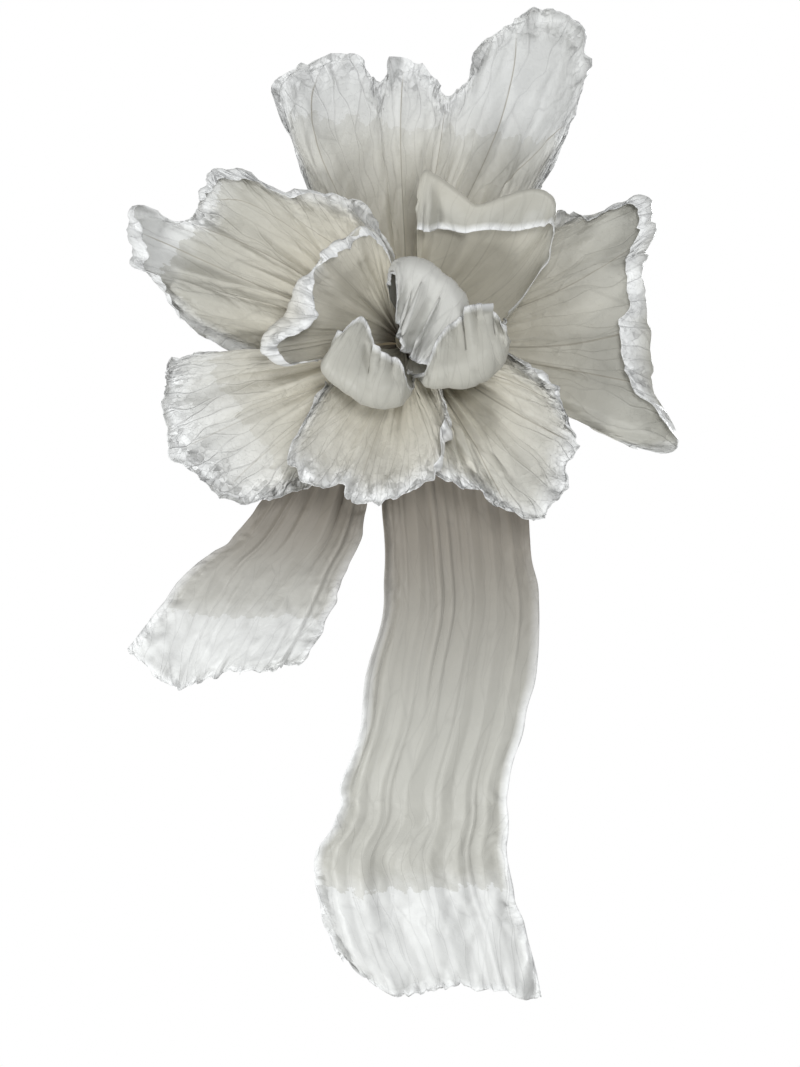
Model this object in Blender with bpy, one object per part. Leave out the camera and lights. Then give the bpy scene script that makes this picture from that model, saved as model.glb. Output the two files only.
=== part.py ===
"""Giant paper flower for a wall: gathered, wired and curled paper petals on a wooden post, with two hanging sheets.

The wall is the plane y = 0, the flower faces -Y and +Z is up; its axis runs through the origin. Sizes are in
millimetres and angles in degrees until a mesh is made. A clock angle is seen from the front, 0 up and 90 to
the right. Reach is measured from the axis and lift from the wall.
"""

from collections import namedtuple
from math import cos, pi, radians, sin

import bmesh
import bpy
from mathutils import Vector

MM = 0.001
GAP = 0.3

# Driving dimensions of the paper and its wires
PAPER_THICKNESS = 0.8
WIRE_DIAMETER = 2.6
WIRE_CLEARANCE = 0.35
THROAT_CLEARANCE = 2.6
THROAT_PLEAT = 1.1
GATHERED_SHARE = 0.14
FACET_ALLOWANCE = 0.03
FOOT_BAR_DROP = 8.0
FOOT_BAR_WIDTH = 4.4
FOOT_BAR_THICKNESS = 4.2
FOOT_BAR_FACETS = 3

# Degrees that the bar runs on past the first and the last wire
BAR_BEFORE = 6.0
BAR_AFTER = 7.5

# How far a petal keeps its end slopes, as a share of the straight way from throat to fold
SLOPE_PULL = 0.36

# Driving dimensions of the wooden core
BOARD_DIAMETER = 240.0
BOARD_THICKNESS = 9.0
POST_DIAMETER = 40.0
POST_LENGTH = 124.0
SCREW_SPACING = 20.0
SCREW_DIAMETER = 4.5
SCREW_HEAD_DIAMETER = 9.0
SCREW_LENGTH = 40.0
SCREW_POINT = 6.0
LOOP_WIRE = 2.5
LOOP_SPAN = 30.0
LOOP_HEIGHT = 32.0
LOOP_INSET = 16.0
TAPE_WIDTH = 8.0
TAPE_THICKNESS = 1.0

THROAT_RADIUS = POST_DIAMETER / 2 + THROAT_CLEARANCE

FORWARD = Vector((0.0, -1.0, 0.0))

# A rib is one radial line of a petal: where its outermost point lies, and the lip that folds over beyond it
Rib = namedtuple("Rib", "clock reach lift lip roll")

# seat: lift at which the throat is bound; throat: clock angles of the gather on the post;
# leave and arrive: slope towards the viewer at the throat and at the fold; fold: radius of the fold;
# flap: clock angles that the first and last lips fold along, or None where each follows its own rib;
# pleat: depth of the folds; lip_rows: rows of points over the lip; wires: ribs that carry a wire
Petal = namedtuple("Petal", "name seat throat leave arrive fold flap pleat lip_rows wires ribs")

BODY_ROWS = (0.0, 0.07, 0.16, 0.28, 0.43, 0.61, 0.81, 1.0)

PETALS = (
    Petal("top_petal", 34, (-24, 32), 42, 2, 14, None, 7, 2, (3, 7, 9, 11), (
        Rib(-37, 300, 215, 15, 25), Rib(-31, 470, 235, 18, 30), Rib(-27, 604, 250, 22, 50), Rib(-18, 617, 225, 18, 30),
        Rib(-9.5, 610, 205, 18, 35), Rib(-6.5, 556, 195, 15, 30), Rib(-1.5, 604, 188, 15, 30), Rib(6, 568, 190, 15, 25),
        Rib(10.5, 530, 192, 15, 30), Rib(14.5, 600, 200, 25, 50), Rib(17, 712, 205, 30, 70), Rib(22, 760, 212, 45, 100),
        Rib(28, 753, 225, 60, 120), Rib(33.5, 678, 240, 55, 110), Rib(37.5, 600, 260, 30, 60), Rib(43, 420, 250, 15, 30))),
    Petal("right_petal", 34, (62, 116), 42, 0, 10, None, 8, 3, (3, 7, 9), (
        Rib(49.5, 370, 215, 15, 30), Rib(54.5, 426, 230, 30, 90), Rib(58, 500, 235, 45, 150), Rib(60.5, 590, 240, 55, 165),
        Rib(66.5, 590, 230, 70, 165), Rib(72, 545, 220, 75, 170), Rib(81, 540, 215, 75, 170), Rib(90, 537, 215, 85, 170),
        Rib(101, 557, 225, 90, 165), Rib(107, 598, 235, 65, 150), Rib(113, 640, 250, 40, 100), Rib(117, 548, 245, 25, 60))),
    Petal("upper_left_petal", 47, (-88, -33), 44, 5, 10, None, 8, 3, (3, 7, 13), (
        Rib(-102, 270, 140, 15, 20), Rib(-93, 390, 185, 15, 30), Rib(-85, 495, 225, 25, 90), Rib(-78.5, 560, 250, 50, 150),
        Rib(-76.5, 606, 255, 60, 160), Rib(-71.5, 624, 250, 55, 150), Rib(-66.5, 648, 245, 40, 120),
        Rib(-64, 560, 238, 20, 60), Rib(-60, 515, 240, 20, 60), Rib(-55, 532, 250, 40, 130), Rib(-50.5, 548, 260, 55, 155),
        Rib(-46, 490, 265, 50, 155), Rib(-42.5, 408, 265, 35, 150), Rib(-33, 350, 260, 30, 140),
        Rib(-23, 304, 255, 25, 120), Rib(-15, 240, 228, 15, 60), Rib(-9, 180, 195, 12, 30))),
    Petal("lower_right_petal", 47, (110, 160), 48, 8, 10, None, 8, 3, (3, 5, 9), (
        Rib(94, 165, 205, 20, 60), Rib(103.5, 250, 258, 30, 130), Rib(111.5, 320, 300, 35, 150), Rib(116, 370, 300, 35, 150),
        Rib(120, 414, 295, 30, 120), Rib(124, 445, 290, 20, 60), Rib(131, 467, 280, 18, 50), Rib(137.5, 494, 280, 18, 40),
        Rib(144.5, 502, 285, 20, 50), Rib(150, 448, 275, 18, 40), Rib(154, 388, 270, 15, 30), Rib(159, 356, 270, 15, 30),
        Rib(166, 325, 262, 15, 30), Rib(174, 260, 240, 15, 20))),
    Petal("lower_left_petal", 59, (-147, -102), 44, -2, 10, None, 12, 2, (3, 5, 9), (
        Rib(-152, 330, 172, 15, 30), Rib(-146, 403, 172, 18, 40), Rib(-139, 476, 196, 22, 60), Rib(-131, 538, 192, 22, 60),
        Rib(-124, 547, 208, 18, 50), Rib(-117, 567, 192, 18, 40), Rib(-111.5, 556, 208, 18, 50), Rib(-105, 546, 196, 25, 80),
        Rib(-101, 524, 212, 25, 90), Rib(-97.5, 520, 222, 30, 120), Rib(-95.5, 442, 235, 22, 60))),
    Petal("upper_right_petal", 59, (14, 64), 54, 40, 12, (-2, 30), 8, 4, (3, 5, 9), (
        Rib(5, 285, 322, 95, 150), Rib(7.5, 330, 328, 143, 155), Rib(13.5, 323, 322, 132, 155), Rib(23, 308, 316, 104, 155),
        Rib(31, 306, 315, 80, 155), Rib(37.5, 350, 318, 92, 155), Rib(43, 402, 322, 112, 155), Rib(49, 414, 320, 80, 150),
        Rib(55, 380, 310, 30, 90), Rib(63, 335, 300, 20, 60), Rib(72, 282, 285, 15, 30), Rib(80, 225, 262, 15, 20))),
    Petal("bottom_petal", 71, (165, 209), 54, 22, 10, None, 5, 2, (3, 7, 11), (
        Rib(147, 150, 225, 20, 90), Rib(155, 215, 272, 40, 150), Rib(162, 262, 300, 45, 150), Rib(167, 314, 318, 25, 60),
        Rib(175, 343, 310, 15, 30), Rib(183, 362, 302, 15, 30), Rib(190, 379, 300, 15, 30), Rib(196.5, 374, 300, 15, 30),
        Rib(202.5, 356, 300, 15, 30), Rib(208.5, 377, 305, 15, 30), Rib(216, 379, 315, 15, 30), Rib(222, 380, 328, 20, 80),
        Rib(228, 292, 292, 20, 90), Rib(236, 200, 228, 15, 60))),
    Petal("inner_left_petal", 85, (-98, -22), 60, 50, 10, None, 5, 3, (3, 7, 9), (
        Rib(-108, 195, 280, 15, 30), Rib(-105, 262, 322, 25, 80), Rib(-100.5, 301, 350, 45, 130), Rib(-95, 296, 360, 70, 150),
        Rib(-86, 252, 352, 75, 150), Rib(-73, 244, 352, 55, 150), Rib(-62, 237, 352, 35, 120), Rib(-50, 237, 352, 40, 130),
        Rib(-36, 234, 350, 45, 140), Rib(-21.5, 236, 342, 45, 140), Rib(-12, 180, 296, 25, 110), Rib(-8, 120, 232, 12, 40))),
    Petal("inner_bottom_petal", 90, (-184, -132), 66, 58, 40, (-198, -140), 4, 4, (3, 5), (
        Rib(-192, 106, 232, 15, 20), Rib(-186, 138, 276, 50, 70), Rib(-177, 170, 304, 145, 132), Rib(-158, 180, 314, 164, 135),
        Rib(-143, 188, 316, 196, 135), Rib(-129, 198, 316, 203, 135), Rib(-117, 202, 312, 140, 130), Rib(-108, 162, 288, 55, 100))),
    Petal("centre_right_petal", 101, (96, 158), 64, 55, 42, (166, 184), 4, 4, (3, 5), (
        Rib(86, 212, 300, 26, 90), Rib(102, 224, 320, 80, 135), Rib(111, 218, 320, 160, 135), Rib(125, 193, 320, 207, 137),
        Rib(141, 171, 320, 192, 138), Rib(152, 147, 321, 148, 134), Rib(161, 124, 302, 56, 110), Rib(177, 84, 236, 20, 50))),
    Petal("centre_petal", 114, (4, 86), 70, 60, 40, (2, 48), 4, 4, (3, 5), (
        Rib(-22, 106, 262, 26, 50), Rib(-8, 140, 290, 70, 100), Rib(5, 148, 296, 178, 126), Rib(20, 152, 298, 240, 127),
        Rib(38, 152, 296, 250, 128), Rib(58, 148, 293, 226, 129), Rib(79, 146, 288, 176, 129), Rib(98, 140, 280, 96, 120),
        Rib(112, 110, 264, 30, 60))),
)

# A hanging sheet runs between two rails of (x, z, lift) points, top to bottom; hem is how far its lower edge
# hangs past the straight line between its corners, from left to right; folds: height of its pleats at (share of
# the width, height)
Hanging = namedtuple("Hanging", "name seat rows folds left right hem")

HANGING_SHEETS = (
    Hanging("long_tail", 17, 12, (
        (0, 6), (0.05, -6), (0.11, 7), (0.17, -9), (0.24, 6), (0.31, -8), (0.39, 4), (0.5, -2), (0.6, 8), (0.67, -9),
        (0.74, 7), (0.81, -9), (0.87, 8), (0.94, -6), (1, 6)), (
        (-12, -15, 17), (-40, -110, 28), (-56, -240, 42), (-54, -368, 55), (-47, -497, 62), (-50, -611, 66),
        (-84, -745, 72), (-100, -870, 78), (-143, -1005, 82), (-154, -1085, 86), (-204, -1165, 92), (-199, -1258, 98),
        (-174, -1344, 102), (-143, -1400, 108)), (
        (12, -15, 17), (110, -110, 28), (225, -240, 42), (273, -368, 55), (293, -497, 62), (309, -611, 66),
        (298, -745, 72), (272, -870, 78), (238, -1005, 82), (236, -1085, 86), (231, -1165, 92), (248, -1258, 98),
        (276, -1344, 102), (309, -1487, 108)), (0, 44, 58, 30, 12, 6, 2, 0)),
    Hanging("short_tail", 27, 9, (
        (0, 5), (0.07, -5), (0.15, 7), (0.22, -8), (0.31, 6), (0.41, -8), (0.5, 3), (0.59, -7), (0.68, 8), (0.77, -8),
        (0.85, 6), (0.92, -6), (1, 5)), (
        (-18, -6, 27), (-120, -110, 40), (-230, -240, 58), (-324, -361, 70), (-397, -452, 80), (-470, -502, 86),
        (-529, -565, 92), (-579, -638, 98), (-626, -702, 104)), (
        (-6, -18, 27), (-46, -110, 40), (-72, -240, 58), (-84, -368, 70), (-102, -452, 80), (-134, -525, 86),
        (-156, -588, 92), (-193, -667, 98), (-231, -729, 104)), (0, 50, 72, 62, 36, 22, 22, 4)),
)

PAPER = ("kneaded_white_paper", (0.78, 0.77, 0.73), 0.85, 0.0)
IRON = ("wrapped_iron_wire", (0.62, 0.61, 0.57), 0.6, 0.2)
POPLAR = ("poplar_plywood", (0.63, 0.47, 0.29), 0.6, 0.0)
BEECH = ("beech_dowel", (0.67, 0.45, 0.26), 0.55, 0.0)
STEEL = ("zinc_plated_steel", (0.6, 0.6, 0.58), 0.35, 1.0)
TAPE = ("paper_tape", (0.72, 0.68, 0.58), 0.8, 0.0)


def material(finish):
    name, colour, roughness, metallic = finish
    found = bpy.data.materials.get(name)
    if found:
        return found
    made = bpy.data.materials.new(name)
    made.use_nodes = True
    shader = made.node_tree.nodes["Principled BSDF"]
    shader.inputs["Base Color"].default_value = (*colour, 1.0)
    shader.inputs["Roughness"].default_value = roughness
    shader.inputs["Metallic"].default_value = metallic
    return made


def clock_direction(clock):
    return Vector((sin(radians(clock)), 0.0, cos(radians(clock))))


def spline(values, place):
    """Value of a Catmull-Rom curve through evenly spaced values, with place from 0 to 1."""
    last = len(values) - 1
    index = min(int(place * last), last - 1)
    t = place * last - index
    before = values[max(index - 1, 0)]
    start = values[index]
    end = values[index + 1]
    after = values[min(index + 2, last)]
    return 0.5 * (2 * start + (end - before) * t + (2 * before - 5 * start + 4 * end - after) * t * t
                  + (3 * start - before - 3 * end + after) * t * t * t)


def rib_at(petal, across):
    return Rib(*(spline([rib[field] for rib in petal.ribs], across) for field in range(len(Rib._fields))))


def petal_point(petal, across, along):
    """Point of the unpleated petal: along runs 0 to 1 from the throat to the fold, and 1 to 2 over the lip."""
    rib = rib_at(petal, across)
    throat = clock_direction(petal.throat[0] + (petal.throat[1] - petal.throat[0]) * across)
    flap = petal.flap and petal.flap[0] + (petal.flap[1] - petal.flap[0]) * across
    outward = clock_direction(flap if petal.flap else rib.clock)
    leave = radians(petal.leave)
    arrive = radians(petal.arrive)
    roll = radians(rib.roll)
    fold = min(petal.fold, rib.lip / roll)
    quarter = min(arrive + roll, pi / 2)
    tip = clock_direction(rib.clock) * rib.reach
    end = tip - outward * fold * (sin(quarter) - sin(arrive)) + FORWARD * rib.lift
    if along <= 1:
        start = throat * THROAT_RADIUS + FORWARD * petal.seat
        pull = SLOPE_PULL * (end - start).length
        first = start + (throat * cos(leave) + FORWARD * sin(leave)) * pull
        second = end - (outward * cos(arrive) + FORWARD * sin(arrive)) * pull
        rest = 1 - along
        return (start * rest ** 3 + first * 3 * rest * rest * along + second * 3 * rest * along * along
                + end * along ** 3)
    travelled = (along - 1) * rib.lip
    arc = fold * roll
    turn = min(travelled, arc) / fold
    straight = max(travelled - arc, 0.0)
    out = fold * (sin(arrive + turn) - sin(arrive)) + straight * cos(arrive + turn)
    lift = fold * (cos(arrive) - cos(arrive + turn)) + straight * sin(arrive + turn)
    return end + outward * out + FORWARD * lift


def lip_rows(petal, across):
    """Places along the lip: its last row is the rim, and the rows before it share out the arc of the fold."""
    rib = rib_at(petal, across)
    roll = radians(rib.roll)
    arc = min(petal.fold * roll, rib.lip) / rib.lip
    steps = petal.lip_rows - 1
    return [1 + min(arc, 0.85) * (step + 1) / steps for step in range(steps)] + [2.0]


def pleat_depth(petal, along):
    """Depth of the folds, from the gather at the throat to the fold at the rim."""
    opened = min(along, 1.0)
    return THROAT_PLEAT + (petal.pleat - THROAT_PLEAT) * sin(pi * opened ** 0.7) ** 2 * (1 - 0.25 * opened)


def grid_normals(grid):
    """Normal at each point of a grid of columns, towards the viewer's side of the sheet."""
    normals = []
    columns = len(grid)
    for i in range(columns):
        rows = len(grid[i])
        line = []
        for j in range(rows):
            across = grid[min(i + 1, columns - 1)][j] - grid[max(i - 1, 0)][j]
            along = grid[i][min(j + 1, rows - 1)] - grid[i][max(j - 1, 0)]
            line.append(across.cross(along).normalized())
        normals.append(line)
    return normals


def petal_grid(petal):
    """Columns of points from the throat to the rim; odd columns are the valleys of the pleats."""
    columns = len(petal.ribs)
    places = [[*BODY_ROWS, *lip_rows(petal, i / (columns - 1))] for i in range(columns)]
    smooth = [[petal_point(petal, i / (columns - 1), along) for along in places[i]] for i in range(columns)]
    normals = grid_normals(smooth)
    grid = []
    for i in range(columns):
        side = -1 if i % 2 else 1
        grid.append([point + normal * side * pleat_depth(petal, along)
                     for point, normal, along in zip(smooth[i], normals[i], places[i])])
    return grid


def hanging_grid(sheet):
    """Columns of a sheet that hangs from the post, with its gathered top edge bent round the post."""
    edge_radius = POST_DIAMETER / 2 + GAP + FACET_ALLOWANCE
    grid = []
    for across, height in sheet.folds:
        line = []
        for j in range(sheet.rows + 1):
            along = j / sheet.rows
            left = Vector([spline([point[axis] for point in sheet.left], along) for axis in range(3)])
            right = Vector([spline([point[axis] for point in sheet.right], along) for axis in range(3)])
            x, z, lift = left.lerp(right, across)
            z -= spline(sheet.hem, across) * along ** 8
            flat = Vector((x, 0.0, z))
            if flat.length < edge_radius:
                flat = flat.normalized() * edge_radius
            opened = GATHERED_SHARE + (1 - GATHERED_SHARE) * min(3 * along, 1.0)
            line.append(flat + FORWARD * (lift + height * opened))
        grid.append(line)
    return grid


def add_mesh(name, bm, finish, origin=Vector(), smooth=False):
    """Makes the object from a bmesh in millimetres, with its own origin in world millimetres."""
    bmesh.ops.translate(bm, verts=bm.verts, vec=-origin)
    bmesh.ops.scale(bm, verts=bm.verts, vec=(MM, MM, MM))
    mesh = bpy.data.meshes.new(name)
    bm.to_mesh(mesh)
    bm.free()
    if smooth:
        mesh.shade_smooth()
        mesh.set_sharp_from_angle(angle=radians(35))
    mesh.materials.append(material(finish))
    made = bpy.data.objects.new(name, mesh)
    bpy.context.collection.objects.link(made)
    made.location = origin * MM
    return made


def add_paper(name, grid, origin):
    """A closed sheet of paper's thickness about a grid of points."""
    normals = grid_normals(grid)
    half = PAPER_THICKNESS / 2
    bm = bmesh.new()
    columns = len(grid)
    rows = len(grid[0])
    faces = []
    for side in (1, -1):
        faces.append([[bm.verts.new(grid[i][j] + normals[i][j] * half * side) for j in range(rows)]
                      for i in range(columns)])
    front, back = faces
    for i in range(columns - 1):
        for j in range(rows - 1):
            bm.faces.new((front[i][j], front[i + 1][j], front[i + 1][j + 1], front[i][j + 1]))
            bm.faces.new((back[i][j], back[i][j + 1], back[i + 1][j + 1], back[i + 1][j]))
    ring = [(i, 0) for i in range(columns)] + [(columns - 1, j) for j in range(1, rows)]
    ring += [(i, rows - 1) for i in range(columns - 2, -1, -1)] + [(0, j) for j in range(rows - 2, 0, -1)]
    for (i, j), (k, m) in zip(ring, ring[1:] + ring[:1]):
        bm.faces.new((front[k][m], front[i][j], back[i][j], back[k][m]))
    return add_mesh(name, bm, PAPER, origin, smooth=True)


def add_tube(bm, points, sides):
    """A four-sided wire through points, with its corners along the given side directions."""
    made = []
    for index, (point, side) in enumerate(zip(points, sides)):
        ahead = points[min(index + 1, len(points) - 1)] - points[max(index - 1, 0)]
        second = ahead.cross(side).normalized()
        first = second.cross(ahead).normalized()
        corners = (first, second, -first, -second)
        made.append([bm.verts.new(point + corner * WIRE_DIAMETER / 2) for corner in corners])
    for lower, upper in zip(made, made[1:]):
        for a in range(4):
            b = (a + 1) % 4
            bm.faces.new((lower[a], lower[b], upper[b], upper[a]))
    bm.faces.new(made[0][::-1])
    bm.faces.new(made[-1])


def add_arc_bar(bm, inner, outer, low, high, start, stop, steps):
    """A bar of rectangular section bent round the axis, from lift low to high and clock start to stop."""
    rings = []
    for step in range(steps + 1):
        ray = clock_direction(start + (stop - start) * step / steps)
        corners = ((inner, low), (outer, low), (outer, high), (inner, high))
        rings.append([bm.verts.new(ray * radius + FORWARD * lift) for radius, lift in corners])
    for lower, upper in zip(rings, rings[1:]):
        for a in range(4):
            b = (a + 1) % 4
            bm.faces.new((lower[a], lower[b], upper[b], upper[a]))
    bm.faces.new(rings[0][::-1])
    bm.faces.new(rings[-1])


def join_by_union(base, added):
    """Fuses one object into another with a Boolean and drops the second."""
    modifier = base.modifiers.new("union", "BOOLEAN")
    modifier.operation = "UNION"
    modifier.solver = "EXACT"
    modifier.use_self = True
    modifier.object = added
    added.hide_render = True
    added.display_type = "WIRE"


def add_wires(petal, grid):
    """The petal's wires, run behind the valleys of its pleats and bound by a bar against the post."""
    normals = grid_normals(grid)
    behind = PAPER_THICKNESS / 2 + WIRE_CLEARANCE + WIRE_DIAMETER / 2
    origin = FORWARD * petal.seat
    bar_middle = petal.seat - FOOT_BAR_DROP
    inner = POST_DIAMETER / 2 + GAP
    rods = bmesh.new()
    for column in petal.wires:
        line = grid[column][:len(BODY_ROWS)]
        points = [point - normal * behind for point, normal in zip(line, normals[column])]
        points[-1] = points[-2].lerp(points[-1], 0.9)
        share = column / (len(petal.ribs) - 1)
        clock = petal.throat[0] + (petal.throat[1] - petal.throat[0]) * share
        foot = clock_direction(clock) * (inner + FOOT_BAR_THICKNESS / 2) + FORWARD * bar_middle
        add_tube(rods, [foot, *points[1:]], normals[column])
    bmesh.ops.recalc_face_normals(rods, faces=rods.faces)
    tools = add_mesh(petal.name + "_rods", rods, IRON, origin, smooth=True)
    low, high = (petal.throat[0] + (petal.throat[1] - petal.throat[0]) * column / (len(petal.ribs) - 1)
                 for column in (petal.wires[0], petal.wires[-1]))
    bar = bmesh.new()
    add_arc_bar(bar, inner, inner + FOOT_BAR_THICKNESS, bar_middle - FOOT_BAR_WIDTH / 2,
                bar_middle + FOOT_BAR_WIDTH / 2, low - BAR_BEFORE, high + BAR_AFTER, FOOT_BAR_FACETS)
    bmesh.ops.recalc_face_normals(bar, faces=bar.faces)
    joined = add_mesh(petal.name + "_wires", bar, IRON, origin)
    join_by_union(joined, tools)
    return joined


def add_turned(name, profile, finish, origin, segments=32):
    """A solid turned about the axis through origin, from (lift, radius) pairs running front to back."""
    bm = bmesh.new()
    rings = []
    for lift, radius in profile:
        if radius == 0:
            rings.append([bm.verts.new(FORWARD * lift)])
        else:
            rings.append([bm.verts.new(clock_direction(360 * k / segments) * radius + FORWARD * lift)
                          for k in range(segments)])
    for lower, upper in zip(rings, rings[1:]):
        for k in range(segments):
            corners = [lower[k % len(lower)], lower[(k + 1) % segments % len(lower)],
                       upper[(k + 1) % segments % len(upper)], upper[k % len(upper)]]
            bm.faces.new(list(dict.fromkeys(corners)))
    for ring in (rings[0], rings[-1]):
        if len(ring) > 1:
            bm.faces.new(ring)
    bmesh.ops.recalc_face_normals(bm, faces=bm.faces)
    moved = add_mesh(name, bm, finish, smooth=True)
    moved.location = origin * MM
    return moved


def cut(target, cutter):
    modifier = target.modifiers.new("cut", "BOOLEAN")
    modifier.operation = "DIFFERENCE"
    modifier.solver = "EXACT"
    modifier.object = cutter
    cutter.hide_render = True
    cutter.display_type = "WIRE"


def add_core():
    """Backing board, post and the two screws that hold the post on."""
    radius = BOARD_DIAMETER / 2
    board = add_turned("backing_board", ((0, radius), (BOARD_THICKNESS - 1, radius),
                                         (BOARD_THICKNESS, radius - 1)), POPLAR, Vector(), 32)
    post_start = BOARD_THICKNESS + GAP
    radius = POST_DIAMETER / 2
    post = add_turned("post", ((post_start, radius), (post_start + POST_LENGTH - 2, radius),
                               (post_start + POST_LENGTH, radius - 2)), BEECH, Vector(), 24)
    clearance = 2 * GAP
    for side, name in ((1, "upper_screw"), (-1, "lower_screw")):
        place = Vector((0.0, 0.0, side * SCREW_SPACING / 2))
        shank = SCREW_DIAMETER / 2
        head = SCREW_HEAD_DIAMETER / 2
        countersink = head - shank
        add_turned(name, ((GAP, head), (GAP + 0.6, head), (GAP + 0.6 + countersink, shank),
                          (SCREW_LENGTH - SCREW_POINT, shank), (SCREW_LENGTH, 0)), STEEL, place, 12)
        hole = add_turned(name + "_hole", ((-5, head + clearance), (GAP + 1.1, head + clearance),
                                           (GAP + 1.1 + countersink, shank + clearance),
                                           (SCREW_LENGTH + 1, shank + clearance)), STEEL, place, 12)
        cut(board, hole)
        cut(post, hole)
    inner = radius + GAP
    tape_high = post_start + POST_LENGTH - 2.5
    ring = ((tape_high, inner + TAPE_THICKNESS), (tape_high - TAPE_WIDTH, inner + TAPE_THICKNESS))
    tape = add_turned("binding_tape", ring, TAPE, Vector(), 24)
    bore = add_turned("tape_bore", ((tape_high + 5, inner), (tape_high - TAPE_WIDTH - 5, inner)), TAPE, Vector(), 24)
    cut(tape, bore)
    return board


def add_hanging_loop(board):
    """A bent wire whose legs sit in two holes near the board's top edge, with its arch above the edge."""
    half = LOOP_SPAN / 2
    leg_height = BOARD_DIAMETER / 2 - LOOP_INSET
    front = BOARD_THICKNESS + 3
    top = BOARD_DIAMETER / 2 + LOOP_HEIGHT - half
    route = [Vector((-half, -2.0, leg_height)), Vector((-half, -front + 2, leg_height)),
             Vector((-half, -front, leg_height + 2))]
    steps = 10
    route += [Vector((-half * cos(pi * k / steps), -front, top + half * sin(pi * k / steps))) for k in range(steps + 1)]
    route += [Vector((-point.x, point.y, point.z)) for point in route[2::-1]]
    curve = bpy.data.curves.new("hanging_loop", "CURVE")
    curve.dimensions = "3D"
    curve.bevel_depth = LOOP_WIRE / 2 * MM
    curve.bevel_resolution = 1
    curve.use_fill_caps = True
    line = curve.splines.new("POLY")
    line.points.add(len(route) - 1)
    for point, place in zip(line.points, route):
        point.co = (*(place * MM), 1.0)
    curve.materials.append(material(STEEL))
    loop = bpy.data.objects.new("hanging_loop", curve)
    bpy.context.collection.objects.link(loop)
    bore = LOOP_WIRE / 2 + 0.4
    for side in (-1, 1):
        place = Vector((side * half, 0.0, leg_height))
        cut(board, add_turned(f"loop_hole_{side + 2}", ((1.4, bore), (BOARD_THICKNESS + 4, bore)), STEEL, place, 8))
    return loop


def main():
    for found in list(bpy.data.objects):
        bpy.data.objects.remove(found, do_unlink=True)
    board = add_core()
    add_hanging_loop(board)
    for petal in PETALS:
        grid = petal_grid(petal)
        add_paper(petal.name, grid, FORWARD * petal.seat)
        add_wires(petal, grid)
    for sheet in HANGING_SHEETS:
        add_paper(sheet.name, hanging_grid(sheet), FORWARD * sheet.seat)


main()
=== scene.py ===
"""Dresses the giant paper flower: kneaded paper petals and tails, wrapped wires, its core and a plain studio.

Laid out as an add-on and run as a script. Sizes are in millimetres and angles in degrees until a mesh is
made. A clock angle is seen from the front, 0 up and 90 to the right. Lift is the distance from the wall.
"""

from collections import namedtuple
from math import pi, radians

import bpy
import numpy as np
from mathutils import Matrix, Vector, geometry


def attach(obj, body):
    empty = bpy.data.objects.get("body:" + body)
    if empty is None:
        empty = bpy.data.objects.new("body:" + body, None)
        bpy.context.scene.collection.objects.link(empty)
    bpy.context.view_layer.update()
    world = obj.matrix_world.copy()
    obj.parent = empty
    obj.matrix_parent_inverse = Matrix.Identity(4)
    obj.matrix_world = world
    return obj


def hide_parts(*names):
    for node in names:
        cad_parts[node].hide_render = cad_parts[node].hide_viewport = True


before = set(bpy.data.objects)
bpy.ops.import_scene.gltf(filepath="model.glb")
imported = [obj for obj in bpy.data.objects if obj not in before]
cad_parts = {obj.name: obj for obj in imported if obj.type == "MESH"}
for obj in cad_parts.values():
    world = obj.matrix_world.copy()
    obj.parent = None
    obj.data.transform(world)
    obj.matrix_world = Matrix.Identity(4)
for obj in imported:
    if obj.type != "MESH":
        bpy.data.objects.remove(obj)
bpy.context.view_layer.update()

bl_info = {
    "name": "Giant paper flower",
    "version": (1, 0, 0),
    "blender": (4, 5, 0),
    "location": "View3D > Sidebar > Paper flower",
    "description": "Kneaded paper petals, hanging sheets and their studio, fitted to the packed flower",
    "category": "Object",
}

MM = 0.001

# As in the solids: the gap round the post, the radius of the gather and of the post, the depth of the
# gather's pleats, and how far a petal keeps its end slopes, as a share of the straight way
GAP = 0.3
THROAT_RADIUS = 22.6
POST_RADIUS = 20.0
THROAT_PLEAT = 1.1
SLOPE_PULL = 0.36

# One hand-pressed crease for each so many millimetres of a sheet's width, and the depth that shades fully
CREASE_SPACING = 24
RELIEF_DEPTH = 6.5

# The paper's ridge over a wire: its height, and how far to each side it has sunk to a third of that
WIRE_RIDGE = 2.2
WIRE_RIDGE_SPREAD = 5

# The wrapped wires, and the three turns of thinner wire that bind each set of them to the post
WIRE_RADIUS = 1.3
BINDING_RADIUS = 0.95
BINDING_TURNS = 3

# The fan of crease lines is as wide in the shader as the petal is at this distance from the throat
FAN_RADIUS = 400

# Distances from the throat over which painted shade grows, from where it starts to where it is full: on a
# petal's gathered paper, where less light shines through, deep in its packed folds, and as the flower's
# shadow on a hanging sheet's packed folds
GATHERED = (620, 150)
THROAT_SHADE = (150, 40)
HANGING_SHADOW = (880, 320)

# Least and greatest width of a crease's gentle side, and how far the crease sways, as a share of the width
PETAL_CREASES = ((8, 34), 0.03)
HANGING_CREASES = ((10, 44), 0.012)

# How far the second layer's torn end wanders in short and in long bits, and how many bits there are
TORN_BITS = ((12, 40), (14, 9))

# Width of the rim that is kneaded hardest, from where it starts to where it is full
PETAL_RIM = (110, 20)
HANGING_RIM = (70, 10)

# A sheet's layers are held in millimetres, so a value without a unit is given in these
ONE = 1 / MM

# Distance to the nearest wire on a sheet that has none
NO_WIRE = 99

# Stripes and spaces that a wave texture has in one metre at a scale of 1
WAVES_FOR_SCALE = 6.28

# Seeds of the random draws of each group of sheets
OUTER_SEED = 100
INNER_SEED = 200
HANGING_SEED = 300

# Columns of points: between two ribs of an outer and of an inner petal, and across a hanging sheet
OUTER_COLUMNS = 9
INNER_COLUMNS = 12
HANGING_COLUMNS = 104
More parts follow.
